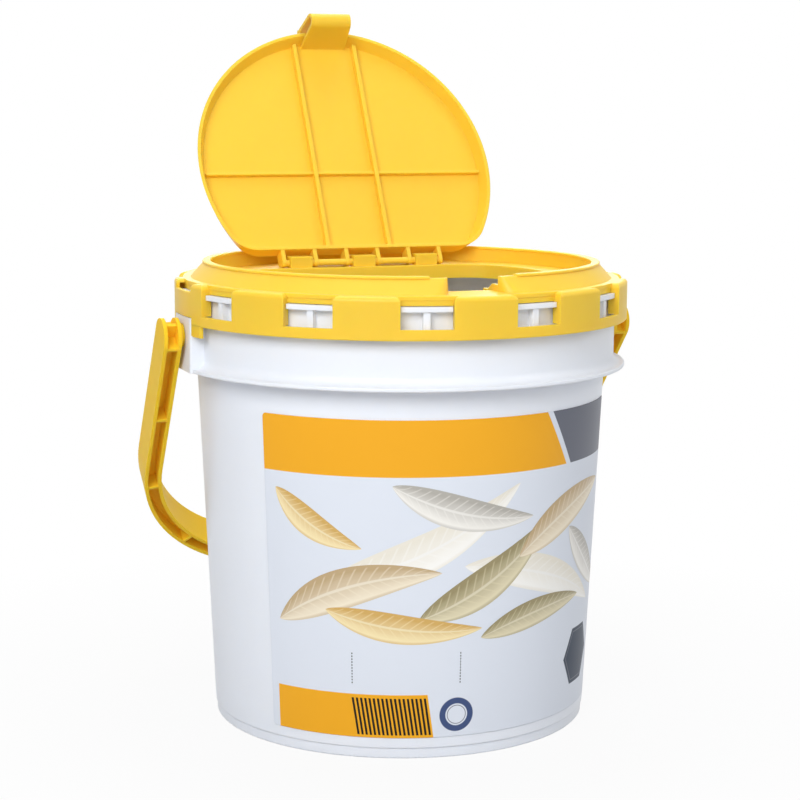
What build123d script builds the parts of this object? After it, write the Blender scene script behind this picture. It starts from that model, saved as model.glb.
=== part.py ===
from build123d import *
import os
from math import asin, atan2, cos, degrees, hypot, radians, sin, sqrt, tan

# Aerated bait bucket: a tapered pail, a lid ring that snaps over its lugs, a hinged hatch door
# with a spring latch, a swinging bail handle and a wrap-round label.
# Millimetres, +Z up.  The origin is the middle of the pail's underside,
# the latch faces -Y, the hatch hinge lies towards +Y, the ears are on +-X.

# ---------------------------------------------------------------- pail
pail_wall = 2.4                # wall of the pail, collar and foot
pail_base_radius = 106.3       # outside radius of the tapered wall, taken down to the ground
pail_draft = 2.69              # outward lean of the wall, degrees
foot_height = 6.0              # stacking foot under the step line
foot_step = 0.8                # how far the foot stands in from the wall
floor_recess = 4.0             # underside of the floor above the ground
floor_thickness = 2.6
floor_chamfer = 3.0            # inside corner between floor and wall
hub_radius = 20.0              # gate pad in the middle of the underside
underside_ribs = 8
underside_rib_width = 2.0
collar_step = 4.86             # straight collar above the lip stands this far outside the wall
collar_top = 247.2
lip_height = 201.0             # underside of the grip lip
lip_thickness = 2.2
lip_reach = 6.6                # how far the lip stands out of the collar
lip_blend = 4.5                # hollow fillet between lip and collar

# ---------------------------------------------------------------- snap lugs
lug_pitch = 28.2               # degrees between lugs
lugs_per_side = 6
lug_width = 27.0
lug_reach = 4.8                # how far a lug stands out of the collar
lug_height = 242.0             # underside of the lug bars
lug_thickness = 2.7
lug_rib_width = 3.7
lug_rib_reach = 4.0
lug_rib_drop = 13.0            # how far the rib runs down under its bar

# ---------------------------------------------------------------- ears
ear_reach = 7.0                # flat face of the ear outside the collar
ear_width = 31.6
ear_wall = 2.4
ear_height = 30.2              # ear top above the underside of the lip
ear_corner = 1.2
pivot_above_lip = 19.5         # bail pivot above the underside of the lip
pivot_bore_radius = 5.0

# ---------------------------------------------------------------- lid ring
lid_gap = 0.3                  # standing clearance between lid and pail
skirt_thickness = 2.1
skirt_gap = 0.5                # skirt inside face outside the lug tips
skirt_depth = 22.5             # shoulder top to skirt bottom
skirt_round = 2.6
lid_plate = 2.2                # shoulder and deck thickness
locating_wall = 2.0            # inner wall that sits on the lug bars
shoulder_width = 9.0           # flat shoulder between skirt face and ridge foot
ridge_height = 9.2             # rim bead above the shoulder
ridge_lean = 7.5               # how far the ridge leans in over its height
rim_width = 3.3
rim_chamfer = 0.45
bead_height = 1.0
bead_drop = 0.4                # underside of the bead below the ridge's top
bead_inward = 0.6              # bead overhangs the ridge's top inwards
bead_outward = 0.8             # and outwards
seat_drop = 0.0                # hatch seat below the shoulder
window_width = 27.8
window_sill = 5.7              # skirt left below each window
window_web = 2.0               # radial web on each side of a window
window_flare = 2.6             # rounded upper corners beside windows and ear slots
leg_width = 10.6               # legs that straddle the ears
leg_drop = 6.2                 # how far the legs hang below the skirt
leg_gap = 0.5
ear_slot_length = 31.0         # slot in shoulder and skirt above each ear
ear_slot_depth = 4.7

# ---------------------------------------------------------------- hatch
hatch_margin = 15.7            # rim wall's open edge inside the ridge
hatch_offset = 2.4             # hatch circle's centre behind the pail's axis
hatch_chord = 8.0              # hinge-side edge in front of the hinge line
hatch_corner = 20.0
hatch_height = 9.2             # rim edge to outside face
hatch_panel = 2.0
hatch_wall = 2.0
hatch_flare = 4.0              # how far the rim wall spreads over its height
hatch_gap = 0.3                # rim edge above its seat when shut
hatch_open = 119.5             # opening angle, degrees
rib_spacing = 38.8             # between the two long ribs
rib_thickness = 2.4
rib_height = 4.2
cross_rib_thickness = 1.6
cross_rib_height = 3.0
cross_rib_station = 60.4       # cross rib from the hinge line
seat_width = 4.0               # how much of the deck carries the rim wall

# ---------------------------------------------------------------- hinge
hinge_back = 66.0              # hinge line behind the pail's axis
hinge_rise = 2.6               # hinge line above the deck
pin_radius = 2.0
pin_clearance = 0.08
fin_thickness = 2.4
fin_pitch = 19.7               # between neighbouring fins
fin_count = 6
fin_end_radius = 2.3
heel_length = 6.4              # flat heel of a fin that lands on the deck
clip_width = 13.4
clip_wall = 1.9
clip_mouth = 3.0

# ---------------------------------------------------------------- latch
latch_root_width = 28.6
latch_end_width = 24.6
latch_thickness = 2.0
latch_root_inset = 7.4         # latch root inside the rim's outermost point
latch_spread = 3.4             # how far the inner limb leans out on its way down
latch_depth = 12.6             # straight part of the limbs below the rim edge
latch_fold = 3.7               # centre-line radius of the fold
latch_bead = 1.6               # finger bead radius
latch_clearance = 1.0          # latch to the edge of its pocket
notch_width = 28.6             # finger notch through the ridge
jamb_round = 2.6               # outer corner of the ridge's ends, at the top
jamb_root_round = 8.8          # and at the foot
jamb_turn = 13.5               # ends are solid this far from the middle, degrees
bead_gap = 49.0                # stretch of rim left without its bead
guide_thickness = 2.0          # guide ribs beside the latch pocket
guide_height = 3.4
guide_slope = 6.1
pocket_width = 30.6

# ---------------------------------------------------------------- rear deck
hose_hole_radius = 4.0
hose_boss_wall = 2.2
hose_boss_height = 3.0
hose_hole_x = -34.0
hose_hole_behind = 21.0        # behind the hinge line
clip_plate_width = 32.0        # upright plate that takes an aerator's belt clip
clip_plate_thickness = 2.4
clip_plate_height = 8.4
clip_plate_x = 16.0
clip_plate_behind = 24.0
inner_skirt_depth = 6.0        # skirt round the hatch opening below the deck
inner_skirt_thickness = 2.0
hinge_window_depth = 7.0

# ---------------------------------------------------------------- bail
bail_gap = 2.6                 # between an ear's face and the arm beside it
bail_thickness = 10.0          # outer face to inner face
bail_width = 21.0
bail_wall = 2.1
bail_web = 2.0
bail_reach = 192.8             # pivot to the middle of the grip
bail_lean = 2.1                # arms lean in, degrees
bail_bend = 95.0               # centre-line radius of the two bends
bail_rib = 1.8
bail_rib_pitch = 58.5
bail_ribs_each_end = 5
cheek_set = 1.2                # centre of the round cheeks below the pivot
web_end = 8.1                  # web ends this far above the pivot, between the round cheeks
boss_radius = 6.4
boss_gap = 0.3                 # boss to ear face
peg_clearance = 0.08
peg_barb = 0.8                 # barb outside the peg's radius
peg_barb_length = 2.2
bail_rest_gap = 0.3            # grip to pail where the bail leans on it

# ---------------------------------------------------------------- label
label_thickness = 0.25
label_film = 0.05              # glue film under the label
label_bottom = 11.7
label_top = 184.7
label_arc = 119.4              # degrees round the front

# ---------------------------------------------------------------- derived
overshoot = 1.0                # cutters run past the faces that they cut
seam_angle = 33.6              # turned profiles close between two lugs
taper = tan(radians(pail_draft))


def wall_radius(height):
    """Outside radius of the tapered wall at a height."""
    return pail_base_radius + taper * height


step_top = lip_height + lip_thickness
collar_radius = wall_radius(lip_height) + collar_step
lip_radius = collar_radius + lip_reach
collar_bore = collar_radius - pail_wall
floor_top = floor_recess + floor_thickness
foot_radius = wall_radius(foot_height) - foot_step
lug_radius = collar_radius + lug_reach
lug_top = lug_height + lug_thickness
ear_face = collar_radius + ear_reach
ear_top = lip_height + ear_height
pivot_height = lip_height + pivot_above_lip

skirt_bore = lug_radius + skirt_gap
skirt_radius = skirt_bore + skirt_thickness
locating_radius = collar_radius + lid_gap + locating_wall
locating_foot = lug_top + lid_gap
shoulder_top = collar_top + lid_gap + lid_plate + lid_gap
skirt_bottom = shoulder_top - skirt_depth
window_bottom = skirt_bottom + window_sill
ridge_foot = skirt_radius - shoulder_width
rim_top = shoulder_top + ridge_height
rim_outer = ridge_foot - ridge_lean
rim_inner = rim_outer - rim_width
deck_top = shoulder_top - seat_drop
deck_bottom = deck_top - lid_plate

hatch_radius = rim_inner - hatch_margin
hinge_height = deck_top + hinge_rise
edge_depth = hinge_rise - hatch_gap          # rim edge on the inner side of the hinge line
face_depth = edge_depth - hatch_height       # outside face of the panel
panel_depth = face_depth + hatch_panel       # inside face of the panel
hatch_centre = hinge_back - hatch_offset     # circle's centre from the hinge line
hatch_tip = hatch_centre + hatch_radius
open_lean = radians(hatch_open - 90)
hatch_along = (0, sin(open_lean), cos(open_lean))
hatch_inward = (0, -cos(open_lean), sin(open_lean))
hinge_origin = (0, hinge_back, hinge_height)
# local x along the hinge, local y from hinge to tip, normal out of the inner side
hatch_plane = Plane(origin=hinge_origin, x_dir=(1, 0, 0), z_dir=hatch_inward)
# local x from hinge to tip, local y out of the inner side
hatch_side = Plane(origin=hinge_origin, x_dir=hatch_along, z_dir=(1, 0, 0))

pocket_edge = hinge_back - (hatch_tip - latch_root_inset + latch_spread + 2 * latch_fold
                            + latch_thickness / 2 + latch_bead + latch_clearance)
opening_radius = hatch_radius - seat_width
opening_back = hinge_back - hatch_chord + hatch_wall / 2

arm_x = ear_face + bail_gap + bail_thickness / 2
arm_end = bail_reach
corner_x = arm_x - bail_reach * tan(radians(bail_lean))
grip_inner = bail_reach - bail_thickness / 2
lean_a = grip_inner + taper * bail_width / 2
lean_b = taper * grip_inner - bail_width / 2
lean_c = wall_radius(pivot_height) + bail_rest_gap
bail_rest = asin(lean_c / hypot(lean_a, lean_b)) - atan2(lean_b, lean_a)
# local x across the pail, local y from the pivot to the grip
bail_plane = Plane(origin=(0, 0, pivot_height), x_dir=(1, 0, 0),
                   z_dir=(0, cos(bail_rest), sin(bail_rest)))

lug_span = lug_pitch * (lugs_per_side - 1)


def lug_places(radius):
    """Polar places of the lugs: a group in front, a group behind, one over each ear."""
    places = []
    for middle in (-90, 90):
        group = PolarLocations(radius, lugs_per_side, start_angle=middle - lug_span / 2,
                               angular_range=lug_span, endpoint=True)
        places += group.local_locations
    return places


def radial_plane(angle):
    """Upright plane through the axis: local x outwards at an angle, local y up."""
    turn = radians(angle)
    return Plane(origin=(0, 0, 0), x_dir=(cos(turn), sin(turn), 0),
                 z_dir=(sin(turn), -cos(turn), 0))


def facing_plane(angle, radius):
    """Upright plane square to a radius: local x along the ring, local y up."""
    turn = radians(angle)
    return Plane(origin=(radius * cos(turn), radius * sin(turn), 0),
                 x_dir=(-sin(turn), cos(turn), 0), z_dir=(cos(turn), sin(turn), 0))


def front_point(radius, turn):
    """Point of the plan at a radius, turned from -Y towards +X."""
    return (radius * sin(turn), -radius * cos(turn))


def near(sketch, x, y):
    """The vertex of a sketch nearest to a point of its plane."""
    return sketch.vertices().sort_by_distance(Vector(x, y))[0]


# ================================================================ pail
wall_inner = wall_radius(step_top) - pail_wall
floor_inner = wall_radius(floor_top) - pail_wall

with BuildPart() as pail:
    with BuildSketch(radial_plane(seam_angle)) as pail_section:
        with BuildLine():
            Polyline(
                (0, floor_recess),
                (foot_radius - pail_wall, floor_recess),
                (foot_radius - pail_wall, 0),
                (foot_radius, 0),
                (foot_radius, foot_height),
                (wall_radius(foot_height), foot_height),
                (wall_radius(lip_height), lip_height),
                (lip_radius, lip_height),
                (lip_radius, step_top),
                (collar_radius, step_top),
                (collar_radius, collar_top),
                (collar_bore, collar_top),
                (collar_bore, step_top),
                (wall_inner, step_top),
                (floor_inner, floor_top),
                (0, floor_top),
                close=True,
            )
        make_face()
        chamfer(near(pail_section, floor_inner, floor_top), floor_chamfer)
        fillet(near(pail_section, collar_radius, step_top), lip_blend)
        chamfer([near(pail_section, foot_radius, 0),
                 near(pail_section, wall_radius(lip_height), lip_height)], foot_step / 2)
        chamfer([near(pail_section, lip_radius, lip_height),
                 near(pail_section, lip_radius, step_top)], lip_thickness / 5)
        chamfer([near(pail_section, collar_radius, collar_top),
                 near(pail_section, collar_bore, collar_top)], pail_wall / 5)
    revolve(axis=Axis.Z)

    # ribs and gate pad inside the foot
    with BuildSketch(Plane.XY) as underside:
        Circle(hub_radius)
        with PolarLocations(0, underside_ribs):
            Rectangle(foot_radius - pail_wall / 2, underside_rib_width,
                      align=(Align.MIN, Align.CENTER))
    extrude(amount=floor_recess + floor_thickness / 2)

    # T-shaped snap lugs round the collar
    with BuildSketch(Plane.XY.offset(lug_height)) as lug_bars:
        with Locations(*lug_places(collar_radius)):
            Rectangle(2 * lug_reach + pail_wall, lug_width)
        with PolarLocations(collar_radius, 2):
            Rectangle(2 * lug_reach + pail_wall, lug_width)
        Circle(lug_radius, mode=Mode.INTERSECT)
        Circle(collar_radius - pail_wall / 2, mode=Mode.SUBTRACT)
    extrude(amount=lug_thickness)
    with BuildSketch(Plane.XY.offset(lug_height - lug_rib_drop)) as lug_ribs:
        with Locations(*lug_places(collar_radius)):
            Rectangle(2 * lug_rib_reach, lug_rib_width)
        Circle(collar_radius - pail_wall / 2, mode=Mode.SUBTRACT)
    extrude(amount=lug_rib_drop + lug_thickness / 2)

    # hollow ears for the bail, open at the top under the lid
    with BuildSketch(Plane.XY.offset(lip_height)) as ears:
        Rectangle(2 * ear_face, ear_width)
        fillet(ears.vertices(), ear_corner)
        Circle(collar_radius - pail_wall / 2, mode=Mode.SUBTRACT)
    extrude(amount=ear_height)
    with BuildSketch(Plane.XY.offset(step_top)) as ear_hollows:
        Rectangle(2 * (ear_face - ear_wall), ear_width - 2 * ear_wall)
        Circle(collar_radius, mode=Mode.SUBTRACT)
    extrude(amount=ear_top - step_top + overshoot, mode=Mode.SUBTRACT)
    for side in (-1, 1):
        with Locations((side * (ear_face - ear_wall / 2), 0, pivot_height)):
            Cylinder(pivot_bore_radius, ear_wall + overshoot, rotation=(0, 90, 0),
                     mode=Mode.SUBTRACT)
pail.part.label = "pail"
export_step(pail.part, "parts/pail.step")

# ================================================================ label
label_face = label_film + label_thickness

with BuildPart() as wrap_label:
    with BuildSketch(radial_plane(-90 - label_arc / 2)):
        with BuildLine():
            Polyline(
                (wall_radius(label_bottom) + label_film, label_bottom),
                (wall_radius(label_bottom) + label_face, label_bottom),
                (wall_radius(label_top) + label_face, label_top),
                (wall_radius(label_top) + label_film, label_top),
                close=True,
            )
        make_face()
    revolve(axis=Axis.Z, revolution_arc=label_arc)
wrap_label.part.label = "wrap_label"
export_step(wrap_label.part, "parts/wrap_label.step")

# ================================================================ lid ring
jamb_arc = 2 * (jamb_turn + degrees(asin(lid_plate / ridge_foot)))
bead_arc = 2 * degrees(asin(bead_gap / 2 / rim_outer))
ridge_top = rim_top - bead_height
locating_bore = locating_radius - locating_wall


def jamb_plan(height, inner, outer, corner):
    """Plan of the ridge's right-hand end beside the finger notch, its outer corner rounded."""
    edge = notch_width / 2
    reach = edge + corner
    centre = (reach, -sqrt((outer - corner) ** 2 - reach ** 2))
    meet = atan2(centre[0], -centre[1])
    bulge = front_point(corner, (meet - radians(90)) / 2)
    start = asin(edge / inner)
    last = radians(jamb_turn)
    with BuildSketch(Plane.XY.offset(height)) as plan:
        with BuildLine():
            Line(front_point(inner, start), (edge, centre[1]))
            ThreePointArc((edge, centre[1]), (centre[0] + bulge[0], centre[1] + bulge[1]),
                          front_point(outer, meet))
            ThreePointArc(front_point(outer, meet), front_point(outer, (meet + last) / 2),
                          front_point(outer, last))
            Line(front_point(outer, last), front_point(inner, last))
            ThreePointArc(front_point(inner, last), front_point(inner, (last + start) / 2),
                          front_point(inner, start))
        make_face()
    return plan.sketch


# solid ends of the ridge on both sides of the finger notch
with BuildPart() as jambs:
    add(jamb_plan(deck_top, rim_inner - rim_chamfer, ridge_foot, jamb_root_round))
    add(jamb_plan(ridge_top, rim_inner, rim_outer, jamb_round))
    loft(ruled=True)
    add(jamb_plan(deck_top, rim_inner - rim_chamfer, ridge_foot, jamb_root_round))
    extrude(amount=-lid_plate / 2)
    mirror(about=Plane.YZ)

# cutter for the lug windows and for the slots above the ears
slot_bottom = shoulder_top - ear_slot_depth
window_places = [(middle - lug_span / 2 + count * lug_pitch, window_width, window_bottom)
                 for middle in (-90, 90) for count in range(lugs_per_side)]
window_places += [(middle, ear_slot_length, slot_bottom) for middle in (0, 180)]
with BuildPart() as window_cut:
    for angle, width, foot in window_places:
        brim = shoulder_top - window_flare
        bulge = window_flare / 3
        with BuildSketch(facing_plane(angle, locating_radius - shoulder_width)):
            with BuildLine():
                Polyline((-width / 2, brim), (-width / 2, foot), (width / 2, foot),
                         (width / 2, brim))
                ThreePointArc((width / 2, brim), (width / 2 + bulge, shoulder_top - bulge),
                              (width / 2 + window_flare, shoulder_top))
                Polyline((width / 2 + window_flare, shoulder_top),
                         (width / 2 + window_flare, shoulder_top + overshoot),
                         (-width / 2 - window_flare, shoulder_top + overshoot),
                         (-width / 2 - window_flare, shoulder_top))
                ThreePointArc((-width / 2 - window_flare, shoulder_top),
                              (-width / 2 - bulge, shoulder_top - bulge), (-width / 2, brim))
            make_face()
        extrude(amount=2 * shoulder_width)
    with Locations((0, 0, shoulder_top)):
        Cylinder(locating_radius + lid_gap, 2 * skirt_depth, mode=Mode.SUBTRACT)

# small fittings that stand on the deck
with BuildPart() as fittings:
    # three clips that hold the hatch's hinge bar
    clip_stations = [place * 2 * fin_pitch - clip_width / 2 for place in (-1, 0, 1)]
    with BuildSketch(*[Plane.YZ.offset(station) for station in clip_stations]):
        with Locations((hinge_back, deck_top - lid_plate / 2)):
            Rectangle(2 * (pin_radius + clip_wall),
                      lid_plate / 2 + hinge_rise + pin_radius + clip_wall,
                      align=(Align.CENTER, Align.MIN))
        with Locations((hinge_back, hinge_height)):
            Circle(pin_radius + pin_clearance, mode=Mode.SUBTRACT)
            Rectangle(2 * pin_radius + clip_wall, clip_mouth,
                      align=(Align.MIN, Align.CENTER), mode=Mode.SUBTRACT)
    extrude(amount=clip_width)

    # boss of the hose hole
    hose_spot = (hose_hole_x, hinge_back + hose_hole_behind)
    with BuildSketch(Plane.XY.offset(deck_bottom)):
        with Locations(hose_spot):
            Circle(hose_hole_radius + hose_boss_wall)
    extrude(amount=lid_plate + hose_boss_height)

    # upright plate for an aerator's belt clip, with a post at each end
    with BuildSketch(Plane.XZ.offset(-hinge_back - clip_plate_behind)) as clip_plate:
        with Locations((clip_plate_x, deck_top - lid_plate / 2)):
            Rectangle(clip_plate_width, clip_plate_height + lid_plate / 2,
                      align=(Align.CENTER, Align.MIN))
        fillet(clip_plate.vertices().group_by(Axis.Y)[-1], clip_plate_height / 3)
    extrude(amount=clip_plate_thickness)
    with BuildSketch(Plane.XY.offset(deck_top - lid_plate / 2)):
        with Locations((clip_plate_x, hinge_back + clip_plate_behind)):
            with GridLocations(clip_plate_width - clip_plate_thickness, 0, 2, 1):
                Rectangle(clip_plate_thickness, 2 * clip_plate_thickness,
                          align=(Align.CENTER, Align.MIN))
    extrude(amount=clip_plate_height / 2 + lid_plate / 2)

    # guide ribs beside the latch pocket
    for side in (-1, 1):
        with BuildSketch(Plane.YZ.offset(side * pocket_width / 2)):
            with BuildLine():
                Polyline(
                    (-rim_inner - lid_plate / 4, deck_top - lid_plate / 2),
                    (-rim_inner - lid_plate / 4, deck_top + guide_height),
                    (pocket_edge, deck_top + guide_height),
                    (pocket_edge + guide_slope, deck_top),
                    (pocket_edge + guide_slope, deck_top - lid_plate / 2),
                    close=True,
                )
            make_face()
        extrude(amount=side * guide_thickness)

with BuildPart() as lid_ring:
    # turned section: skirt, locating wall, shoulder and deck
    with BuildSketch(radial_plane(seam_angle)) as ring_section:
        with BuildLine():
            Polyline(
                (0, deck_top),
                (skirt_radius, shoulder_top),
                (skirt_radius, skirt_bottom),
                (skirt_bore, skirt_bottom),
                (skirt_bore, deck_bottom),
                (locating_radius, deck_bottom),
                (locating_radius, locating_foot),
                (locating_bore, locating_foot),
                (locating_bore, deck_bottom),
                (0, deck_bottom),
                close=True,
            )
        make_face()
        fillet(near(ring_section, skirt_radius, shoulder_top), skirt_round)
        chamfer(near(ring_section, skirt_radius, skirt_bottom), skirt_thickness / 5)
    revolve(axis=Axis.Z)

    # ridge round the hatch's seat, with a finger notch left out at the front
    with BuildSketch(radial_plane(-90 + jamb_turn)) as ridge_section:
        with BuildLine():
            Polyline(
                (rim_inner - rim_chamfer, deck_top - lid_plate / 2),
                (rim_inner - rim_chamfer, deck_top),
                (rim_inner, ridge_top),
                (rim_outer, ridge_top),
                (ridge_foot, shoulder_top),
                (ridge_foot, shoulder_top - lid_plate / 2),
                close=True,
            )
        make_face()
    revolve(axis=Axis.Z, revolution_arc=360 - 2 * jamb_turn)
    add(jambs.part)

    # the ridge is hollow below, except at the jambs of the notch
    with BuildSketch(radial_plane(-90 + jamb_arc / 2)):
        with BuildLine():
            Polyline(
                (rim_inner + lid_plate, deck_bottom - overshoot),
                (rim_inner + lid_plate, ridge_top - lid_plate),
                (ridge_foot - lid_plate / 2, deck_bottom),
                (ridge_foot - lid_plate / 2, deck_bottom - overshoot),
                close=True,
            )
        make_face()
    revolve(axis=Axis.Z, revolution_arc=360 - jamb_arc, mode=Mode.SUBTRACT)

    # bead along the top of the ridge, which stops short of the notch on both sides
    with BuildSketch(radial_plane(-90 + bead_arc / 2)) as bead_section:
        with BuildLine():
            Polyline(
                (rim_inner - bead_inward, ridge_top - bead_drop),
                (rim_inner - bead_inward, rim_top),
                (rim_outer + bead_outward, rim_top),
                (rim_outer + bead_outward, ridge_top - bead_drop),
                close=True,
            )
        make_face()
        chamfer(bead_section.vertices().group_by(Axis.Y)[-1], rim_chamfer)
    revolve(axis=Axis.Z, revolution_arc=360 - bead_arc)

    # skirt round the hatch opening, then the opening with its latch pocket
    skirt_foot = deck_bottom - inner_skirt_depth
    for grow, low, mode in ((inner_skirt_thickness, skirt_foot, Mode.ADD),
                            (0, skirt_foot - overshoot, Mode.SUBTRACT)):
        with BuildSketch(Plane.XY.offset(low)) as outline:
            with Locations((0, hatch_offset)):
                Circle(opening_radius + grow)
            with Locations((0, opening_back + grow)):
                Rectangle(2 * skirt_radius, 2 * skirt_radius,
                          align=(Align.CENTER, Align.MAX), mode=Mode.INTERSECT)
            fillet(outline.vertices().group_by(Axis.Y)[-1],
                   hatch_corner - hatch_wall + grow)
            with Locations((0, pocket_edge - grow)):
                Rectangle(pocket_width + 2 * grow, opening_radius,
                          align=(Align.CENTER, Align.MIN))
        extrude(amount=deck_top - lid_plate / 2 - low + (grow == 0) * lid_plate, mode=mode)

    # boxed windows for the lugs: two webs beside each, then the window itself
    web_length = skirt_bore - locating_bore + skirt_thickness / 2
    with BuildSketch(Plane.XY.offset(window_bottom)):
        with Locations(*lug_places(locating_bore)):
            with Locations((0, window_width / 2 + window_web / 2),
                           (0, -window_width / 2 - window_web / 2)):
                Rectangle(web_length, window_web, align=(Align.MIN, Align.CENTER))
        Circle(skirt_bore + skirt_thickness / 3, mode=Mode.INTERSECT)
    extrude(amount=deck_bottom - window_bottom + lid_plate / 2)
    add(window_cut.part, mode=Mode.SUBTRACT)

    # the skirt is cut away round each ear
    with BuildSketch(Plane.XY.offset(skirt_bottom - overshoot)):
        with PolarLocations(locating_radius, 2):
            Rectangle(skirt_radius, ear_width + 2 * leg_gap, align=(Align.MIN, Align.CENTER))
    extrude(amount=ear_top + lid_gap - skirt_bottom + overshoot, mode=Mode.SUBTRACT)

    # windows in the deck behind the hinge, then the fittings and the hose hole
    with BuildSketch(Plane.XY.offset(deck_bottom - overshoot)):
        with Locations((-fin_pitch, opening_back + inner_skirt_thickness + overshoot),
                       (fin_pitch, opening_back + inner_skirt_thickness + overshoot)):
            Rectangle(fin_pitch - fin_thickness, hinge_window_depth,
                      align=(Align.CENTER, Align.MIN))
    extrude(amount=lid_plate + 2 * overshoot, mode=Mode.SUBTRACT)
    add(fittings.part)
    with BuildSketch(Plane.XY.offset(deck_bottom - overshoot)):
        with Locations(hose_spot):
            Circle(hose_hole_radius)
    extrude(amount=lid_plate + hose_boss_height + 2 * overshoot, mode=Mode.SUBTRACT)
lid_ring.part.label = "lid_ring"
export_step(lid_ring.part, "parts/lid_ring.step")

# ================================================================ lid legs
# moulded with the lid ring: they hang from its skirt on both sides of each ear
leg_chamfer = skirt_thickness / 5

with BuildPart() as lid_legs:
    with BuildSketch(radial_plane(seam_angle)) as leg_section:
        with BuildLine():
            Polyline(
                (skirt_bore, skirt_bottom - leg_drop),
                (skirt_radius, skirt_bottom - leg_drop),
                (skirt_radius, skirt_bottom + leg_chamfer),
                (skirt_radius - leg_chamfer, skirt_bottom),
                (skirt_bore, skirt_bottom),
                close=True,
            )
        make_face()
        chamfer(near(leg_section, skirt_radius, skirt_bottom - leg_drop), leg_chamfer)
    revolve(axis=Axis.Z)
    with BuildSketch(Plane.XY.offset(skirt_bottom - leg_drop - overshoot)):
        with Locations((0, ear_width / 2 + leg_gap), (0, -ear_width / 2 - leg_gap - leg_width)):
            Rectangle(2 * skirt_radius + overshoot, leg_width, align=(Align.CENTER, Align.MIN))
    extrude(amount=leg_drop + 2 * skirt_thickness, mode=Mode.INTERSECT)
lid_legs.part.label = "lid_legs"
export_step(lid_legs.part, "parts/lid_legs.step")

# ================================================================ hatch door
latch_root = hatch_tip - latch_root_inset
latch_low = edge_depth + latch_depth
latch_far = latch_root + latch_spread + 2 * latch_fold

with BuildPart() as latch:
    # one strip folded into a U: root, inner limb, fold, outer limb, finger bead
    with BuildSketch(hatch_side) as strip:
        with BuildLine() as strip_line:
            Line((latch_root - hatch_wall, (face_depth + panel_depth) / 2),
                 (latch_root, (face_depth + panel_depth) / 2))
            Line((latch_root, (face_depth + panel_depth) / 2),
                 (latch_root + latch_spread, latch_low))
            ThreePointArc((latch_root + latch_spread, latch_low),
                          (latch_root + latch_spread + latch_fold, latch_low + latch_fold),
                          (latch_far, latch_low))
            Line((latch_far, latch_low), (latch_far, panel_depth))
        trace(strip_line.line, latch_thickness)
        with Locations((latch_far, panel_depth)):
            Circle(latch_bead)
    extrude(amount=latch_root_width / 2, both=True)
    # the strip narrows towards its fold
    with BuildSketch(Plane(origin=hinge_origin, x_dir=(1, 0, 0), z_dir=hatch_along)) as sides:
        with BuildLine():
            Polyline(
                (-latch_root_width / 2, -face_depth + overshoot),
                (latch_root_width / 2, -face_depth + overshoot),
                (latch_root_width / 2, -panel_depth),
                (latch_end_width / 2, -latch_low - 2 * latch_fold),
                (-latch_end_width / 2, -latch_low - 2 * latch_fold),
                (-latch_root_width / 2, -panel_depth),
                close=True,
            )
        make_face()
    extrude(amount=2 * hatch_tip, mode=Mode.INTERSECT)


def hatch_outline(depth, inset):
    """The hatch's D outline at a depth: the rim flares out towards its open edge."""
    shrink = inset + hatch_flare * (edge_depth - depth) / hatch_height
    with BuildSketch(hatch_plane.offset(depth)) as outline:
        with Locations((0, hatch_centre)):
            Circle(hatch_radius - shrink)
        with Locations((0, hatch_chord + inset)):
            Rectangle(2 * hatch_radius, 2 * hatch_radius, align=(Align.CENTER, Align.MIN),
                      mode=Mode.INTERSECT)
        fillet(outline.vertices(), hatch_corner - shrink)
    return outline.sketch


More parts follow.
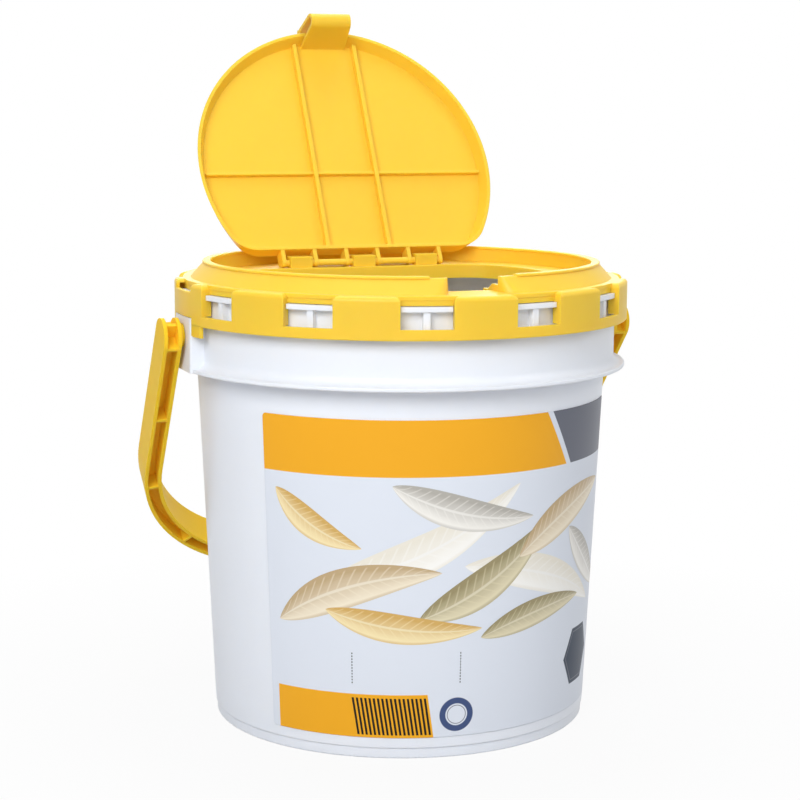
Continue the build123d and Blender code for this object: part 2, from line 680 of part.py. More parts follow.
with BuildPart() as hatch:
    add(hatch_outline(face_depth, 0))
    add(hatch_outline(edge_depth, 0))
    loft()
    add(hatch_outline(panel_depth, hatch_wall))
    add(hatch_outline(edge_depth + overshoot, hatch_wall))
    loft(mode=Mode.SUBTRACT)

    # stiffening ribs inside: two long ones and one across
    with BuildSketch(hatch_plane.offset(panel_depth - hatch_panel / 2)) as ribs:
        with Locations((-rib_spacing / 2, 0), (rib_spacing / 2, 0)):
            Rectangle(rib_thickness, 2 * hatch_tip, align=(Align.CENTER, Align.CENTER))
        with Locations((0, hatch_centre)):
            Circle(hatch_radius - hatch_flare - hatch_wall / 2, mode=Mode.INTERSECT)
        with Locations((0, hatch_chord + hatch_wall / 2)):
            Rectangle(2 * hatch_radius, 2 * hatch_radius, align=(Align.CENTER, Align.MIN),
                      mode=Mode.INTERSECT)
    extrude(amount=rib_height + hatch_panel / 2)
    with BuildSketch(hatch_plane.offset(panel_depth - hatch_panel / 2)):
        with Locations((0, cross_rib_station)):
            Rectangle(2 * hatch_radius, cross_rib_thickness)
        with Locations((0, hatch_centre)):
            Circle(hatch_radius - hatch_flare - hatch_wall / 2, mode=Mode.INTERSECT)
    extrude(amount=cross_rib_height + hatch_panel / 2)

    # the rim stops on both sides of the latch
    with BuildSketch(hatch_plane.offset(face_depth - overshoot)) as latch_gap:
        with Locations((0, latch_root + latch_thickness / 2)):
            Rectangle(latch_end_width, 2 * latch_root_inset, align=(Align.CENTER, Align.MIN))
    extrude(amount=hatch_height + 2 * overshoot, mode=Mode.SUBTRACT)
    add(latch.part)

    # hinge fins with heels that rest on the deck when the hatch is open
    heel = -(hinge_rise - hatch_gap)
    for place in range(fin_count):
        station = (place - (fin_count - 1) / 2) * fin_pitch
        with BuildSketch(hatch_side.offset(station - fin_thickness / 2)) as fin:
            with BuildLine():
                Polyline(
                    (hatch_chord + hatch_wall / 2, edge_depth - hatch_gap),
                    (0, fin_end_radius),
                    (-fin_end_radius, 0),
                    (heel * cos(open_lean), heel * sin(open_lean)),
                    (heel_length * sin(open_lean) + heel * cos(open_lean),
                     heel * sin(open_lean) - heel_length * cos(open_lean)),
                    (hatch_chord + hatch_wall, face_depth + hatch_panel / 4),
                    close=True,
                )
            make_face()
            Circle(fin_end_radius)
        extrude(amount=fin_thickness)

    # one bar through all the fins
    bar_length = (fin_count - 1) * fin_pitch + fin_thickness
    with BuildSketch(hatch_side.offset(-bar_length / 2)):
        Circle(pin_radius)
    extrude(amount=bar_length)
hatch.part.label = "hatch"
export_step(hatch.part, "parts/hatch.step")

# ================================================================ bail handle
channel = bail_thickness - 2 * bail_wall
channel_depth = (bail_width - bail_web) / 2
with BuildLine() as bail_axis:
    FilletPolyline((-arm_x, cheek_set), (-corner_x, bail_reach), (corner_x, bail_reach),
                   (arm_x, cheek_set), radius=bail_bend)
bail_path = bail_axis.wires()[0]
rib_shares = [0.5]
for count in range(bail_ribs_each_end):
    share = max(0, count * bail_rib_pitch - cheek_set) / bail_path.length
    rib_shares += [share, 1 - share]
rib_places = []
for share in rib_shares:
    spot, heading = bail_path @ share, bail_path % share
    rib_places.append(Location((spot.X, spot.Y, 0), (0, 0, degrees(atan2(heading.Y, heading.X)))))

with BuildPart() as bail:
    with BuildSketch(bail_plane.offset(-bail_width / 2)):
        trace(bail_path, bail_thickness)
    extrude(amount=bail_width)
    # round cheeks, boss, peg and barb at each pivot
    cheek_inner = ear_face + bail_gap
    ear_inside = ear_face - ear_wall - lid_gap
    for radius, start, end, below in (
        (bail_width / 2, cheek_inner, cheek_inner + bail_thickness, cheek_set),
        (boss_radius, ear_face + boss_gap, cheek_inner + bail_wall / 2, 0),
        (pivot_bore_radius - peg_clearance, ear_inside - peg_barb_length, cheek_inner, 0),
        (pivot_bore_radius + peg_barb, ear_inside - peg_barb_length, ear_inside, 0),
    ):
        for side in (-1, 1):
            with Locations((side * (start + end) / 2, below * sin(bail_rest),
                            pivot_height - below * cos(bail_rest))):
                Cylinder(radius, end - start, rotation=(0, 90, 0))

    # channels on both faces, broken by cross ribs, run out between the round cheeks
    for face in (-1, 1):
        with BuildSketch(bail_plane.offset(face * bail_width / 2)):
            trace(bail_path, channel)
            with Locations((-arm_x, cheek_set), (arm_x, cheek_set)):
                Rectangle(channel, bail_width, align=(Align.CENTER, Align.MAX))
            with Locations(*rib_places):
                Rectangle(bail_rib, bail_thickness, mode=Mode.SUBTRACT)
        extrude(amount=-face * channel_depth, mode=Mode.SUBTRACT)
    # the web between them ends a little lower than the cheeks
    with BuildSketch(bail_plane.offset(-bail_web)):
        with Locations((-arm_x, -web_end), (arm_x, -web_end)):
            Rectangle(channel, bail_width, align=(Align.CENTER, Align.MAX))
    extrude(amount=2 * bail_web, mode=Mode.SUBTRACT)
bail.part.label = "bail"
export_step(bail.part, "parts/bail.step")
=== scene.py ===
"""Aerated bait bucket: the moulded plastics, the printed label, the room and the camera.

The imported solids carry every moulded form.  This file gives each of them its
finish, lays the printed label round the pail as a skin with its own print, and
sets up the table, the lamps and the camera.
"""

import logging
import math
from dataclasses import dataclass
from enum import Enum

import bpy
import numpy as np
from mathutils import Matrix, Vector


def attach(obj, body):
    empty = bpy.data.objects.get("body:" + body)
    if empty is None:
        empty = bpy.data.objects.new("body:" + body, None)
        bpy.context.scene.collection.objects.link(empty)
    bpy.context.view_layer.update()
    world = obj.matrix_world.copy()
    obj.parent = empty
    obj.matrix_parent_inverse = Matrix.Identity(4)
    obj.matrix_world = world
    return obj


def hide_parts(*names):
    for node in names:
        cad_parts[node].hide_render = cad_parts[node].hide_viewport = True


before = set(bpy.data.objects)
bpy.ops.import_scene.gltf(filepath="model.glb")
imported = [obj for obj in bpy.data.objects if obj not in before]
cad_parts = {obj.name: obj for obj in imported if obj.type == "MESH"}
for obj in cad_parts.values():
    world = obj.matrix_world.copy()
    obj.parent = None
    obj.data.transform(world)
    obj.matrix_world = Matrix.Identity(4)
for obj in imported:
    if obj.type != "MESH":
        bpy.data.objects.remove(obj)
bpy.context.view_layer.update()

LOG = logging.getLogger("bait_bucket")
MM = 0.001
PRINT_ARC = 120.0  # degrees round the pail that the print's u spans
PRINT_HEIGHT = 200.0  # millimetres that the print's v spans
COS_30 = 0.866


# ------------------------------------------------------------------ shader maths
class Value:
    """A number that varies over a surface, with Python's operators on it."""

    def __init__(self, recipe: "Recipe", socket: bpy.types.NodeSocket) -> None:
        """Wrap an output socket.

        Args:
            recipe: The material recipe whose tree holds the socket.
            socket: The output socket that gives the number.
        """
        self.recipe = recipe
        self.socket = socket

    def math(self, operation: str, *others: "Value | float") -> "Value":
        """Add a Math node that starts with this value.

        Args:
            operation: The Math node's operation.
            others: The second and third operands, values or plain numbers.

        Returns:
            The result as a value.
        """
        inputs = {i: v for i, v in enumerate((self, *others))}
        return self.recipe.node("ShaderNodeMath", {"operation": operation}, inputs)

    def __add__(self, other: "Value | float") -> "Value":
        """Sum."""
        return self.math("ADD", other)

    def __radd__(self, other: float) -> "Value":
        """Sum, reflected."""
        return self.math("ADD", other)

    def __sub__(self, other: "Value | float") -> "Value":
        """Difference."""
        return self.math("SUBTRACT", other)

    def __rsub__(self, other: float) -> "Value":
        """Difference, reflected: a number less this value."""
        return (self * -1.0).math("ADD", other)

    def __mul__(self, other: "Value | float") -> "Value":
        """Product."""
        return self.math("MULTIPLY", other)

    def __rmul__(self, other: float) -> "Value":
        """Product, reflected."""
        return self.math("MULTIPLY", other)

    def __truediv__(self, other: "Value | float") -> "Value":
        """Quotient."""
        return self.math("DIVIDE", other)

    def __pow__(self, other: float) -> "Value":
        """Power."""
        return self.math("POWER", other)

    def __abs__(self) -> "Value":
        """Size without sign."""
        return self.math("ABSOLUTE")

    def high(self, other: "Value | float") -> "Value":
        """The larger of the two."""
        return self.math("MAXIMUM", other)

    def part(self) -> "Value":
        """What is left after the whole number below."""
        return self.math("FRACT")

    def clamped(self) -> "Value":
        """Kept between 0 and 1."""
        return self.recipe.node("ShaderNodeClamp", {}, {"Value": self})

    def over(self, edge: "Value | float", soft: float) -> "Value":
        """Mask that is 1 above an edge and 0 below, with a soft step.

        Args:
            edge: Where the step is.
            soft: Width over which the mask rises.

        Returns:
            The mask.
        """
        return ((self - edge) / soft + 0.5).clamped()

    def within(self, low: "Value | float", high: "Value | float", soft: float) -> "Value":
        """Mask that is 1 between two edges.

        Args:
            low: Lower edge.
            high: Upper edge.
            soft: Width over which the mask rises and falls.

        Returns:
            The mask.
        """
        return self.over(low, soft) * (1.0 - self.over(high, soft))


class Recipe:
    """One material: a Principled shader and the nodes that feed it."""

    def __init__(self, name: str, **constants: object) -> None:
        """Start a material.

        Args:
            name: The material's name.
            constants: Values set on the Principled shader's own sockets, with
                an underscore for each space.
        """
        self.material = bpy.data.materials.new(name)
        self.material.use_nodes = True
        self.tree = self.material.node_tree
        self.tree.nodes.clear()
        self.shader = self.tree.nodes.new("ShaderNodeBsdfPrincipled")
        self.out = self.tree.nodes.new("ShaderNodeOutputMaterial")
        self.tree.links.new(self.shader.outputs[0], self.out.inputs["Surface"])
        for key, value in constants.items():
            self.put(self.shader.inputs[key.replace("_", " ")], value)

    def put(self, socket: bpy.types.NodeSocket, value: object) -> None:
        """Link a value or an output to a socket, or set the socket to a constant.

        Args:
            socket: The input socket.
            value: A Value, an output socket, a number or a colour.
        """
        if isinstance(value, Value):
            self.tree.links.new(value.socket, socket)
        elif isinstance(value, bpy.types.NodeSocket):
            self.tree.links.new(value, socket)
        else:
            if isinstance(value, tuple) and len(value) == 3 and len(socket.default_value) == 4:
                value = (*value, 1.0)
            socket.default_value = value

    def node(self, kind: str, settings: dict, inputs: dict, output: int = 0) -> Value:
        """Add any node.

        Args:
            kind: The node's type.
            settings: Properties of the node, set first.
            inputs: Socket name or index to value, link or constant.
            output: Which output to give back.

        Returns:
            The chosen output, wrapped.
        """
        made = self.tree.nodes.new(kind)
        for key, value in settings.items():
            setattr(made, key, value)
        for key, value in inputs.items():
            self.put(made.inputs[key], value)
        return Value(self, made.outputs[output])

    def blend(self, mask: "Value | float", first: object, second: object) -> Value:
        """Mix two colours.

        Args:
            mask: 0 gives the first colour and 1 the second.
            first: Colour or link.
            second: Colour or link.

        Returns:
            The mixed colour.
        """
        inputs = {0: mask, 6: first, 7: second}
        return self.node("ShaderNodeMix", {"data_type": "RGBA"}, inputs, 2)

    def place(self) -> Value:
        """Object coordinates, in metres."""
        return self.node("ShaderNodeTexCoord", {}, {}, 3)

    def seen(self) -> Value:
        """1 for camera, glossy and transmission rays, 0 for the light that scatters."""
        path = self.tree.nodes.new("ShaderNodeLightPath")
        camera, glossy, through = (
            Value(self, path.outputs[f"Is {kind} Ray"])
            for kind in ("Camera", "Glossy", "Transmission")
        )
        return camera.high(glossy).high(through)

    def axes(self, vector: Value) -> tuple[Value, Value, Value]:
        """Split a vector into its three numbers."""
        split = self.tree.nodes.new("ShaderNodeSeparateXYZ")
        self.put(split.inputs[0], vector)
        return tuple(Value(self, split.outputs[i]) for i in range(3))

    def stretch(self, vector: Value, scale: tuple[float, float, float]) -> Value:
        """Scale a vector axis by axis."""
        return self.node("ShaderNodeVectorMath", {"operation": "MULTIPLY"}, {0: vector, 1: scale})

    def noise(self, vector: Value, scale: float, detail: float = 2.0) -> Value:
        """Smooth noise between 0 and 1.

        Args:
            vector: Where it is read.
            scale: Lumps in a metre.
            detail: How many finer layers are added.

        Returns:
            The noise.
        """
        inputs = {"Vector": vector, "Scale": scale, "Detail": detail}
        return self.node("ShaderNodeTexNoise", {}, inputs)

    def relief(self, height: Value, depth: float, normal: Value | None = None) -> Value:
        """Bump normal from a height.

        Args:
            height: Height between 0 and 1.
            depth: Metres that a height of 1 stands for.
            normal: The normal to start from.

        Returns:
            The new normal.
        """
        inputs = {"Strength": 1.0, "Distance": depth, "Height": height}
        if normal is not None:
            inputs["Normal"] = normal
        return self.node("ShaderNodeBump", {}, inputs)


# ------------------------------------------------------------------ finishes
@dataclass(frozen=True)
class MouldedPlastic:
    """Satin injection-moulded plastic with faint clouds, grain and rubbed patches.

    Attributes:
        name: The material's name.
        colour: Its main colour.
        shade: Its colour in the clouds.
        roughness: Roughness where it is smoothest.
        glow: Share of light that enters the plastic.
        glow_reach: How far that light goes, in metres.
        glow_tint: How far red, green and blue go, as shares of the reach.
        shine: Strength of its mirror-like reflection.
        edge: Radius that rounds every edge in the shading.
        grain_depth: Depth of the mould's grain.
        flow_depth: Depth of the flow marks.
        flow: Stretch of the flow marks along each axis.
        patches: Lumps in a metre of the clouds, flow marks, grain and rubbed patches.
    """

    name: str
    colour: tuple[float, float, float]
    shade: tuple[float, float, float]
    roughness: float = 0.36
    glow: float = 0.6
    glow_reach: float = 0.0045
    glow_tint: tuple[float, float, float] = (1.0, 0.78, 0.40)
    shine: float = 0.35
    edge: float = 0.45 * MM
    grain_depth: float = 0.012 * MM
    flow_depth: float = 0.05 * MM
    flow: tuple[float, float, float] = (1.0, 1.0, 0.12)
    patches: tuple[float, float, float, float] = (9.0, 70.0, 1500.0, 26.0)

    def recipe(self) -> Recipe:
        """Build the material.

        Returns:
            The recipe, so that a piece can add marks of its own.
        """
        r = Recipe(
            self.name,
            IOR=1.49,
            Subsurface_Weight=self.glow,
            Subsurface_Scale=self.glow_reach,
            Subsurface_Radius=self.glow_tint,
            Specular_IOR_Level=self.shine,
        )
        at = r.place()
        cloud_scale, flow_scale, grain_scale, rub_scale = self.patches
        clouds = r.noise(at, cloud_scale, 3.0)
        flow = r.noise(r.stretch(at, self.flow), flow_scale, 2.0)
        grain = r.noise(at, grain_scale, 1.0)
        rubbed = r.noise(at, rub_scale, 4.0).over(0.60, 0.16)
        mask = (clouds * 0.6 + flow * 0.4).over(0.5, 0.5)
        r.put(r.shader.inputs["Base Color"], r.blend(mask, self.shade, self.colour))
        rough = self.roughness + flow * 0.05 + rubbed * 0.06 + grain * 0.03
        r.put(r.shader.inputs["Roughness"], rough)
        rounded = r.node("ShaderNodeBevel", {"samples": 4}, {"Radius": self.edge})
        ripple = r.relief(flow, self.flow_depth, rounded)
        r.put(r.shader.inputs["Normal"], r.relief(grain, self.grain_depth, ripple))
        return r


class Tone(Enum):
    """Inks of the printed leaves: darker back, lighter belly."""

    WHEAT = ((0.50, 0.36, 0.19), (0.86, 0.77, 0.60))
    OLIVE = ((0.30, 0.25, 0.12), (0.74, 0.67, 0.46))
    HONEY = ((0.62, 0.38, 0.10), (0.90, 0.76, 0.44))
    SILVER = ((0.42, 0.40, 0.36), (0.87, 0.85, 0.80))
    MIST = ((0.80, 0.76, 0.66), (0.93, 0.92, 0.88))


@dataclass(frozen=True)
class LeafInk:
    """Printed ink of one leaf, shaded across it, with a midrib and side veins."""

    tone: Tone
    veins_along: float = 16.0
    vein_slant: float = 1.6

    def material(self) -> bpy.types.Material:
        """Build the material.

        Returns:
            The material, which reads the leaf's own UV map: u along, v across.
        """
        r = Recipe("ink_" + self.tone.name.lower(), Roughness=0.38, Coat_Weight=0.15)
        uv = r.node("ShaderNodeUVMap", {"uv_map": "print"}, {})
        u, v, _ = r.axes(uv)
        side = abs(v - 0.5) * 2.0
        back, belly = self.tone.value
        lean = r.blend((v + r.noise(uv, 5.0, 3.0) * 0.22).over(0.60, 0.75), belly, back)
        rib = 1.0 - side.over(0.07, 0.05)
        vein = abs((u * self.veins_along - side * self.vein_slant).part() - 0.5)
        veins = (1.0 - vein.over(0.09, 0.10)) * side.within(0.06, 0.85, 0.10)
        lit = r.blend(veins * 0.38, lean, belly)
        marked = r.blend(rib * 0.75, lit, tuple(0.8 * c + 0.15 for c in belly))
        rim = side.over(0.86, 0.16)
        r.put(r.shader.inputs["Base Color"], r.blend(rim * 0.5, marked, back))
        return r.material


@dataclass(frozen=True)
class PrintedFilm:
    """The label's print: bands, a slanted gap, dotted rules, stripes, a ring and a patch.

    Angles are in degrees round the pail from the front, heights in millimetres,
    and a pair gives the two ends of a stretch.  A reach is a millimetre on the
    pail for each degree.
    """

    paper: tuple[float, float, float] = (0.722, 0.765, 0.842)
    orange: tuple[float, float, float] = (0.86, 0.405, 0.018)
    slate: tuple[float, float, float] = (0.140, 0.150, 0.185)
    ink: tuple[float, float, float] = (0.010, 0.008, 0.006)
    ring: tuple[float, float, float] = (0.055, 0.085, 0.20)
    patch: tuple[float, float, float] = (0.030, 0.045, 0.075)
    title_low: float = 154.3
    title_high: float = 184.7
    title_end_high: float = 22.8
    title_end_low: float = 32.1
    gap: float = 2.1
    band_high: float = 35.7
    band_start: float = -57.2
    band_end_high: float = -12.2
    band_end_low: float = -9.4
    soft_angle: float = 0.10
    soft_height: float = 0.25
    stripe_heights: tuple[float, float] = (13.2, 33.7)
    stripe_angles: tuple[float, float] = (-33.1, -11.2)
    stripe_slant: float = 0.080
    stripe_middle: float = 22.0
    stripes_a_degree: float = 0.83
    rule_heights: tuple[float, float] = (40.8, 58.5)
    rule_starts: tuple[float, float] = (-33.72, -2.97)
    rule_width: float = 0.30
    dots_a_millimetre: float = 0.62
    ring_centre: tuple[float, float] = (-3.7, 23.9)
    ring_reach: float = 1.88
    ring_band: tuple[float, float] = (6.1, 9.4)
    ring_line: tuple[float, float] = (4.9, 5.3)
    patch_centre: tuple[float, float] = (46.5, 41.5)
    patch_reach: float = 1.90
    patch_size: float = 16.0
    patch_line: tuple[float, float] = (13.6, 14.2)

    def material(self) -> bpy.types.Material:
        """Build the material.

        Returns:
            The material, which reads the skin's own UV map: u is the angle
            divided by 120 plus a half, and v is the height divided by 200.
        """
        r = Recipe("printed_film", IOR=1.47, Specular_IOR_Level=0.18, Coat_Roughness=0.30)
        uv = r.node("ShaderNodeUVMap", {"uv_map": "print"}, {})
        u, v, _ = r.axes(uv)
        angle = (u - 0.5) * PRINT_ARC
        height = v * PRINT_HEIGHT
        soft_a, soft_h = self.soft_angle, self.soft_height

        drop = (self.title_high - height) / (self.title_high - self.title_low)
        end = self.title_end_high + drop * (self.title_end_low - self.title_end_high)
        title = height.over(self.title_low, soft_h)
        colour = r.blend(title * (1.0 - angle.over(end, soft_a)), self.paper, self.orange)
        colour = r.blend(title * angle.over(end + self.gap, soft_a), colour, self.slate)

        fall = (self.band_high - height) / self.band_high
        stop = self.band_end_high + fall * (self.band_end_low - self.band_end_high)
        band = (1.0 - height.over(self.band_high, soft_h)) * angle.within(
            self.band_start, stop, soft_a
        )
        colour = r.blend(band, colour, self.orange)

        lean = angle + (height - self.stripe_middle) * self.stripe_slant
        bars = abs((lean * self.stripes_a_degree).part() - 0.5).over(0.23, 0.08)
        striped = height.within(*self.stripe_heights, soft_h) * lean.within(
            *self.stripe_angles, soft_a
        )
        colour = r.blend(bars * striped, colour, self.ink)

        dots = abs((height * self.dots_a_millimetre).part() - 0.5).over(0.22, 0.10)
        left, right = (
            angle.within(start, start + self.rule_width, 0.08) for start in self.rule_starts
        )
        ruled = left.high(right) * dots * height.within(*self.rule_heights, soft_h)
        colour = r.blend(ruled, colour, self.ink)

        across = (angle - self.ring_centre[0]) * self.ring_reach
        up = height - self.ring_centre[1]
        away = (across * across + up * up) ** 0.5
        colour = r.blend(away.within(*self.ring_band, 0.3), colour, self.ring)
        colour = r.blend(away.within(*self.ring_line, 0.3), colour, self.slate)

        beside = abs((angle - self.patch_centre[0]) * self.patch_reach)
        above = abs(height - self.patch_centre[1])
        hexagon = (beside * COS_30 + above * 0.5).high(above)
        colour = r.blend(1.0 - hexagon.over(self.patch_size, 0.4), colour, self.patch)
        colour = r.blend(hexagon.within(*self.patch_line, 0.3), colour, self.slate)

        at = r.place()
        tooth = r.noise(at, 2600.0, 1.0)
        buckle = r.noise(r.stretch(at, (1.0, 1.0, 0.35)), 40.0, 2.0)
        r.put(r.shader.inputs["Base Color"], colour)
        r.put(r.shader.inputs["Roughness"], 0.33 + tooth * 0.06 + buckle * 0.06)
        r.put(r.shader.inputs["Coat Weight"], 0.02 + title * 0.04)
        bent = r.relief(buckle, 0.05 * MM)
        r.put(r.shader.inputs["Normal"], r.relief(tooth, 0.004 * MM, bent))
        return r.material


@dataclass(frozen=True)
class TablePaint:
    """Plain pale table: nearly white near the bucket, white further away, with its shadow."""

    colour: tuple[float, float, float] = (0.50, 0.50, 0.51)
    near_white: float = 0.93
    fade_from: float = 0.16
    fade_to: float = 0.42

    def material(self) -> bpy.types.Material:
        """Build the material.

        Returns:
            The material: a diffuse table that camera, glossy and transmission
            rays see mostly as plain white light, wholly so away from the bucket.
        """
        r = Recipe("table_paint", Base_Color=self.colour, Roughness=0.9)
        x, y, _ = r.axes(r.place())
        away = (x * x + y * y) ** 0.5
        fade = ((away - self.fade_from) / (self.fade_to - self.fade_from)).clamped()
        mask = r.seen() * (self.near_white + fade * (1.0 - self.near_white))
        white = r.node("ShaderNodeEmission", {}, {"Color": (1.0, 1.0, 1.0), "Strength": 1.0})
        mix = r.tree.nodes.new("ShaderNodeMixShader")
        r.put(mix.inputs[0], mask)
        r.put(mix.inputs[1], r.shader.outputs[0])
        r.put(mix.inputs[2], white)
        r.tree.links.new(mix.outputs[0], r.out.inputs["Surface"])
        return r.material


# ------------------------------------------------------------------ surfaces
def grid_mesh(name: str, points: np.ndarray, uv: np.ndarray | None = None) -> bpy.types.Object:
    """Make a mesh object from a grid of points.

    Args:
        name: The object's name.
        points: Array of rows by columns by three, in metres.  The face of rows
            rising against columns rising points outwards.
        uv: Array of rows by columns by two, or nothing.

    Returns:
        The object, at the origin, shaded smooth, with a UV map named print.
    """
    rows, columns = points.shape[:2]
    index = np.arange(rows * columns).reshape(rows, columns)
    quads = np.stack(
        [index[:-1, :-1], index[:-1, 1:], index[1:, 1:], index[1:, :-1]], axis=-1
    ).reshape(-1, 4)
    mesh = bpy.data.meshes.new(name)
    mesh.vertices.add(rows * columns)
    mesh.vertices.foreach_set("co", points.reshape(-1).astype(np.float32))
    mesh.loops.add(quads.size)
    mesh.loops.foreach_set("vertex_index", quads.reshape(-1).astype(np.int32))
    mesh.polygons.add(len(quads))
    mesh.polygons.foreach_set("loop_start", np.arange(0, quads.size, 4, dtype=np.int32))
    if uv is not None:
        layer = mesh.uv_layers.new(name="print")
        layer.data.foreach_set("uv", uv.reshape(-1, 2)[quads.reshape(-1)].reshape(-1))
    mesh.update(calc_edges=True)
    mesh.validate()
    mesh.polygons.foreach_set("use_smooth", np.ones(len(quads), dtype=bool))
    made = bpy.data.objects.new(name, mesh)
    bpy.context.scene.collection.objects.link(made)
    return made


def dress(node: str, material: bpy.types.Material) -> None:
    """Give a CAD node one finish on all its faces.

    Args:
        node: The CAD node's name.
        material: The finish.
    """
    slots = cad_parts[node].material_slots
    for slot in slots:
        slot.material = material
    if not slots:
        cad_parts[node].data.materials.append(material)


# ------------------------------------------------------------------ sub-assemblies
@dataclass
class Pail:
    """The white pail."""

    finish: MouldedPlastic = MouldedPlastic(
        "pail_white", (0.815, 0.850, 0.915), (0.800, 0.837, 0.905),
        roughness=0.34, glow=0.25, glow_reach=0.006, glow_tint=(1.0, 0.9, 0.8),
        shine=0.5,
    )

    def build(self) -> None:
        """Dress the pail's CAD node."""
        dress("pail", self.finish.recipe().material)


YELLOW = (0.905, 0.582, 0.045)
YELLOW_SHADE = (0.890, 0.565, 0.041)


@dataclass
class LidRing:
    """The yellow lid ring."""

    finish: MouldedPlastic = MouldedPlastic("lid_yellow", YELLOW, YELLOW_SHADE, roughness=0.38)

    def build(self) -> None:
        """Dress the ring's CAD nodes."""
        material = self.finish.recipe().material
        for node in ("lid_ring", "lid_legs"):
            dress(node, material)


@dataclass
class Hatch:
    """The yellow hatch door."""

    finish: MouldedPlastic = MouldedPlastic("hatch_yellow", YELLOW, YELLOW_SHADE, roughness=0.40)

    def build(self) -> None:
        """Dress the hatch's CAD node."""
        dress("hatch", self.finish.recipe().material)


@dataclass
class BailHandle:
    """The golden bail handle."""

    finish: MouldedPlastic = MouldedPlastic(
        "bail_gold", (0.975, 0.590, 0.028), (0.955, 0.570, 0.025), roughness=0.46,
        shine=0.12,
    )

    def build(self) -> None:
        """Dress the bail's CAD node."""
        dress("bail", self.finish.recipe().material)


@dataclass(frozen=True)
class Leaf:
    """One printed leaf.

    Attributes:
        angle: Middle of the leaf, degrees from the front.
        height: Middle of the leaf, millimetres above the table.
        turn: Heading, degrees up from level.
        length: Tip to tip, millimetres.
        width: Widest part, millimetres.
        bend: Bow of the midrib as a share of the length.
        tone: Its ink.
    """

    angle: float
    height: float
    turn: float
    length: float
    width: float
    bend: float
    tone: Tone


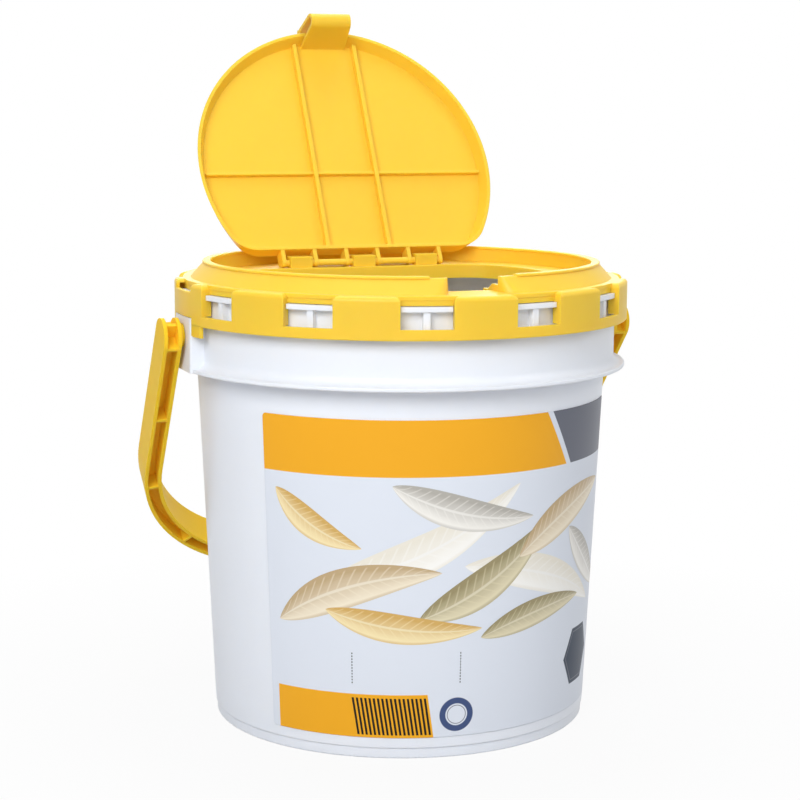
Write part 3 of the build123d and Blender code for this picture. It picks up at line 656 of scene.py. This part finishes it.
@dataclass
class WrapLabel:
    """The printed label: a skin round the front of the pail with printed leaves on it."""

    base_radius: float = 106.3
    draft: float = math.tan(math.radians(2.69))
    film: float = 0.30
    skin_thickness: float = 0.22
    bottom: float = 11.7
    top: float = 184.7
    half_arc: float = 59.7
    corner: float = 2.2
    picture_low: float = 62.5
    picture_high: float = 153.4
    print_film: PrintedFilm = PrintedFilm()
    leaves: tuple[Leaf, ...] = (
        Leaf(-12.0, 118.0, 26.0, 118.0, 21.0, 0.07, Tone.MIST),
        Leaf(26.0, 92.0, -18.0, 112.0, 20.0, -0.06, Tone.MIST),
        Leaf(-44.0, 128.0, -31.0, 58.0, 15.0, 0.08, Tone.HONEY),
        Leaf(-33.0, 92.0, 18.0, 96.0, 21.0, -0.08, Tone.WHEAT),
        Leaf(-2.0, 136.0, -14.0, 84.0, 18.0, 0.07, Tone.SILVER),
        Leaf(6.0, 99.0, 33.0, 92.0, 20.0, 0.06, Tone.OLIVE),
        Leaf(-19.0, 73.5, -7.0, 86.0, 16.0, 0.05, Tone.HONEY),
        Leaf(35.0, 127.0, 21.0, 88.0, 20.0, -0.07, Tone.WHEAT),
        Leaf(49.0, 95.0, -38.0, 70.0, 17.0, 0.05, Tone.SILVER),
        Leaf(23.0, 74.0, 9.0, 78.0, 15.0, -0.05, Tone.OLIVE),
    )

    def on_wall(self, angle: np.ndarray, height: np.ndarray, lift: float) -> np.ndarray:
        """Points on the pail's tapered wall.

        The radius grows in a straight line with the height, and the angle
        turns about the pail's axis from the front towards the right.

        Args:
            angle: Angles in degrees.
            height: Heights in millimetres.
            lift: How far the points stand off the wall, in millimetres.

        Returns:
            The points in metres, with a last axis of three.
        """
        radius = self.base_radius + self.draft * height + lift
        turn = np.radians(angle)
        return MM * np.stack([radius * np.sin(turn), -radius * np.cos(turn), height], axis=-1)

    def skin(self) -> bpy.types.Object:
        """The label's skin: columns of a grid that run between rounded corners.

        At a distance d from an end, a column starts above the bottom edge by
        the corner radius less the half-chord of its circle, and ends below the
        top edge by as much.

        Returns:
            The skin, a closed shell as thick as the film.
        """
        half = np.concatenate(
            [np.linspace(0.0, 0.975, 78), np.linspace(0.975, 0.9985, 11)[1:], [1.0]]
        )
        columns = np.concatenate([-half[:0:-1], half]) * self.half_arc
        rows = np.concatenate([[0.0], np.linspace(0.0015, 0.9985, 58), [1.0]])
        to_end = np.radians(self.half_arc - np.abs(columns)) * (self.base_radius + 5.0)
        inside = np.clip(self.corner - to_end, 0.0, self.corner)
        pull = self.corner - np.sqrt(self.corner**2 - inside**2)
        low, high = self.bottom + pull, self.top - pull
        height = low[None, :] + rows[:, None] * (high - low)[None, :]
        angle = np.broadcast_to(columns, height.shape)
        uv = np.stack([angle / PRINT_ARC + 0.5, height / PRINT_HEIGHT], axis=-1)
        made = grid_mesh("label_skin", self.on_wall(angle, height, self.film), uv)
        wall = made.modifiers.new("film", "SOLIDIFY")
        wall.thickness, wall.offset = self.skin_thickness * MM, -1.0
        made.data.materials.append(self.print_film.material())
        return made

    def leaf(self, number: int, leaf: Leaf) -> bpy.types.Object:
        """One printed leaf as a thin patch that follows the wall.

        Along u from tip to tip the half-width is a power of one less u squared,
        a little fuller near the stalk, and the midrib bows as u squared.

        Args:
            number: Its place in the print, which sets how far it stands proud.
            leaf: The leaf.

        Returns:
            The leaf, cut off at the picture's edges.
        """
        u = np.linspace(-1.0, 1.0, 73)[:, None]
        v = np.linspace(-1.0, 1.0, 15)[None, :]
        half = 0.5 * leaf.width * (1.0 - u**2) ** 0.8 * (1.0 - 0.28 * u)
        along = 0.5 * leaf.length * u + 0.0 * v
        across = leaf.bend * leaf.length * (u**2 - 0.4) + half * v
        turn = math.radians(leaf.turn)
        radius = self.base_radius + self.draft * leaf.height
        side = along * math.cos(turn) - across * math.sin(turn)
        height = leaf.height + along * math.sin(turn) + across * math.cos(turn)
        angle = leaf.angle + np.degrees(side / radius)
        height = np.clip(height, self.picture_low, self.picture_high)
        angle = np.clip(angle, -self.half_arc + 1.2, self.half_arc - 0.4)
        uv = np.stack([0.5 + 0.5 * u + 0.0 * v, 0.5 + 0.0 * u + 0.5 * v], axis=-1)
        points = self.on_wall(angle, height, self.film + 0.02 + 0.008 * number)
        made = grid_mesh(f"label_leaf_{number:02d}", points[:, ::-1], uv[:, ::-1])
        made.data.materials.append(LeafInk(leaf.tone).material())
        return made

    def build(self) -> None:
        """Lay the skin and the leaves on the pail in place of the plain label solid."""
        skin = self.skin()
        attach(skin, "pail")
        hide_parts("wrap_label")
        for number, leaf in enumerate(self.leaves):
            made = self.leaf(number, leaf)
            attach(made, "pail")


# ------------------------------------------------------------------ room
@dataclass(frozen=True)
class SoftLamp:
    """A square soft lamp.

    Attributes:
        name: Its name.
        spot: Where it stands, in metres.
        size: Its side, in metres.
        power: Its power, in watts.
    """

    name: str
    spot: tuple[float, float, float]
    size: float
    power: float

    def build(self, target: Vector) -> None:
        """Hang the lamp and turn it.

        Args:
            target: The point that it faces.
        """
        data = bpy.data.lights.new(self.name, "AREA")
        data.shape, data.size, data.energy = "SQUARE", self.size, self.power
        made = bpy.data.objects.new(self.name, data)
        bpy.context.scene.collection.objects.link(made)
        made.location = self.spot
        made.rotation_mode = "QUATERNION"
        made.rotation_quaternion = (target - made.location).to_track_quat("-Z", "Y")


@dataclass
class Studio:
    """Table, soft lamps, pale surroundings and the camera."""

    focal_pixels: float = 2052.43
    frame_pixels: float = 800.0
    spot: tuple[float, float, float] = (-0.4035, -1.0918, 0.3531)
    azimuth: float = 20.282
    pitch: float = 8.544
    roll: float = 0.271
    shift_pixels: float = -0.32
    table_size: float = 16.0
    room_light: float = 0.24
    room_colour: tuple[float, float, float, float] = (0.98, 0.99, 1.0, 1.0)
    middle: tuple[float, float, float] = (0.0, 0.0, 0.18)
    lamps: tuple[SoftLamp, ...] = (
        SoftLamp("key", (-1.05, -1.2, 1.15), 0.9, 22.0),
        SoftLamp("front", (-0.3, -2.2, 1.2), 1.6, 9.5),
        SoftLamp("fill", (1.9, -1.3, 1.3), 1.4, 13.0),
        SoftLamp("top", (0.2, 0.5, 2.1), 1.5, 22.0),
        SoftLamp("rear", (0.7, 2.3, 1.3), 1.6, 20.0),
    )

    def table(self) -> None:
        """A flat square table top, as a grid of two parameters at no height."""
        side = np.linspace(-0.5, 0.5, 9) * self.table_size
        x, y = np.meshgrid(side, side)
        made = grid_mesh("table", np.stack([x, y, np.zeros_like(x)], axis=-1))
        made.data.materials.append(TablePaint().material())

    def surroundings(self) -> None:
        """White to the camera and in reflections, a soft grey light to all else."""
        world = bpy.data.worlds.new("surroundings")
        bpy.context.scene.world = world
        world.use_nodes = True
        tree = world.node_tree
        tree.nodes.clear()
        path = tree.nodes.new("ShaderNodeLightPath")
        direct, seen = (tree.nodes.new("ShaderNodeMath") for _ in range(2))
        direct.operation = seen.operation = "MAXIMUM"
        tree.links.new(path.outputs["Is Camera Ray"], direct.inputs[0])
        tree.links.new(path.outputs["Is Transmission Ray"], direct.inputs[1])
        tree.links.new(direct.outputs[0], seen.inputs[0])
        tree.links.new(path.outputs["Is Glossy Ray"], seen.inputs[1])
        mix = tree.nodes.new("ShaderNodeMixShader")
        out = tree.nodes.new("ShaderNodeOutputWorld")
        tree.links.new(seen.outputs[0], mix.inputs[0])
        plain = ((self.room_light, self.room_colour), (1.0, (1.0, 1.0, 1.0, 1.0)))
        for place, (strength, colour) in enumerate(plain, start=1):
            light = tree.nodes.new("ShaderNodeBackground")
            light.inputs["Strength"].default_value = strength
            light.inputs["Color"].default_value = colour
            tree.links.new(light.outputs[0], mix.inputs[place])
        tree.links.new(mix.outputs[0], out.inputs["Surface"])

    def camera(self) -> None:
        """The camera, level with the lid and turned a little to the left of the front."""
        data = bpy.data.cameras.new("camera")
        data.sensor_width = 36.0
        data.lens = self.focal_pixels / self.frame_pixels * data.sensor_width
        data.shift_x = self.shift_pixels / self.frame_pixels
        data.clip_start, data.clip_end = 0.05, 60.0
        made = bpy.data.objects.new("camera", data)
        bpy.context.scene.collection.objects.link(made)
        turn = (
            Matrix.Rotation(math.radians(-self.azimuth), 4, "Z")
            @ Matrix.Rotation(math.radians(90.0 - self.pitch), 4, "X")
            @ Matrix.Rotation(math.radians(self.roll), 4, "Z")
        )
        made.matrix_world = Matrix.Translation(self.spot) @ turn
        bpy.context.scene.camera = made

    def build(self) -> None:
        """Set up the table, the lamps, the surroundings and the camera."""
        scene = bpy.context.scene
        scene.view_settings.view_transform = "Standard"
        self.table()
        self.surroundings()
        for lamp in self.lamps:
            lamp.build(Vector(self.middle))
        self.camera()


def main() -> None:
    """Build every sub-assembly in order."""
    logging.basicConfig(level=logging.INFO, format="%(name)s: %(message)s")
    for piece in (Studio(), Pail(), WrapLabel(), LidRing(), Hatch(), BailHandle()):
        piece.build()
        LOG.info("built %s", type(piece).__name__)


if __name__ == "__main__":
    main()
